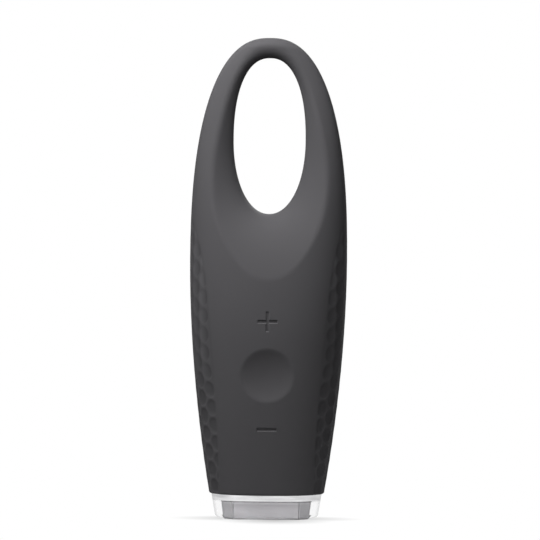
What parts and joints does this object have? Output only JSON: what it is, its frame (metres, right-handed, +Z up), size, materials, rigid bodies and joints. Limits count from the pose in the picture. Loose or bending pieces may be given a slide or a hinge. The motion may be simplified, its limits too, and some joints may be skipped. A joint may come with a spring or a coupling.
{
  "type": "eye massager",
  "caption": "Hand-held eye massager: soft silicone loop head on a rounded handle with dimpled side grips, plus, minus and dished buttons under the skin, and a clear plastic foot.",
  "frame": {"origin": "middle of the underside of the soft foot insert, on the table", "axes": "+Z up through the loop, buttons face -Y, +X to the right seen from the buttons"},
  "size_m": [0.0468, 0.0316, 0.143],
  "materials": {
    "silicone": "soft matt moulded skin",
    "clear_plastic": "clear, polished",
    "foot_rubber": "satin, slightly see-through",
    "housing_plastic": "fine moulded texture",
    "seal_rubber": "matt",
    "board": "satin solder mask",
    "components": "matt moulded",
    "switch_plastic": "matt moulded",
    "steel": "plain",
    "cell": "printed-film blue, unmarked",
    "foam": "open-cell foam",
    "jack_plastic": "moulded"
  },
  "bodies": {
    "handle": {"silicone_sleeve": "silicone", "switch_bodies": "switch_plastic", "circuit_board": "board", "board_components": "components", "board_screws": "steel", "front_housing": "housing_plastic", "rear_housing": "housing_plastic", "gasket_strips": "seal_rubber", "housing_screws": "steel", "loop_frame": "housing_plastic", "battery": "cell", "battery_foam": "foam", "motor_carrier": "housing_plastic", "motor_cans": "steel", "charging_jack": "jack_plastic", "clear_base": "clear_plastic", "base_seal": "seal_rubber", "foot_insert": "foot_rubber"},
    "plus_key": {"plus_button": "silicone", "plus_plunger": "housing_plastic", "plus_switch_stem": "switch_plastic"},
    "power_key": {"power_button": "silicone", "power_plunger": "housing_plastic", "power_switch_stem": "switch_plastic"},
    "minus_key": {"minus_button": "silicone", "minus_plunger": "housing_plastic", "minus_switch_stem": "switch_plastic"},
    "left_rotor": {"left_motor_shaft": "steel", "left_weight": "steel"},
    "right_rotor": {"right_motor_shaft": "steel", "right_weight": "steel"}
  },
  "joints": [
    {"name": "plus_press", "type": "slide", "parent": "handle", "child": "plus_key", "axis": [0, 1, 0], "range_m": [0, 0.0004], "stiffness_N_per_m": 4000},
    {"name": "power_press", "type": "slide", "parent": "handle", "child": "power_key", "axis": [0, 1, 0], "range_m": [0, 0.0004], "stiffness_N_per_m": 4000},
    {"name": "minus_press", "type": "slide", "parent": "handle", "child": "minus_key", "axis": [0, 1, 0], "range_m": [0, 0.0004], "stiffness_N_per_m": 4000},
    {"name": "left_spin", "type": "hinge", "parent": "handle", "child": "left_rotor", "pos_m": [-0.0092, 0, 0.0739], "axis": [0, 0, 1], "continuous": true},
    {"name": "right_spin", "type": "hinge", "parent": "handle", "child": "right_rotor", "pos_m": [0.0092, 0, 0.0739], "axis": [0, 0, 1], "continuous": true}
  ]
}
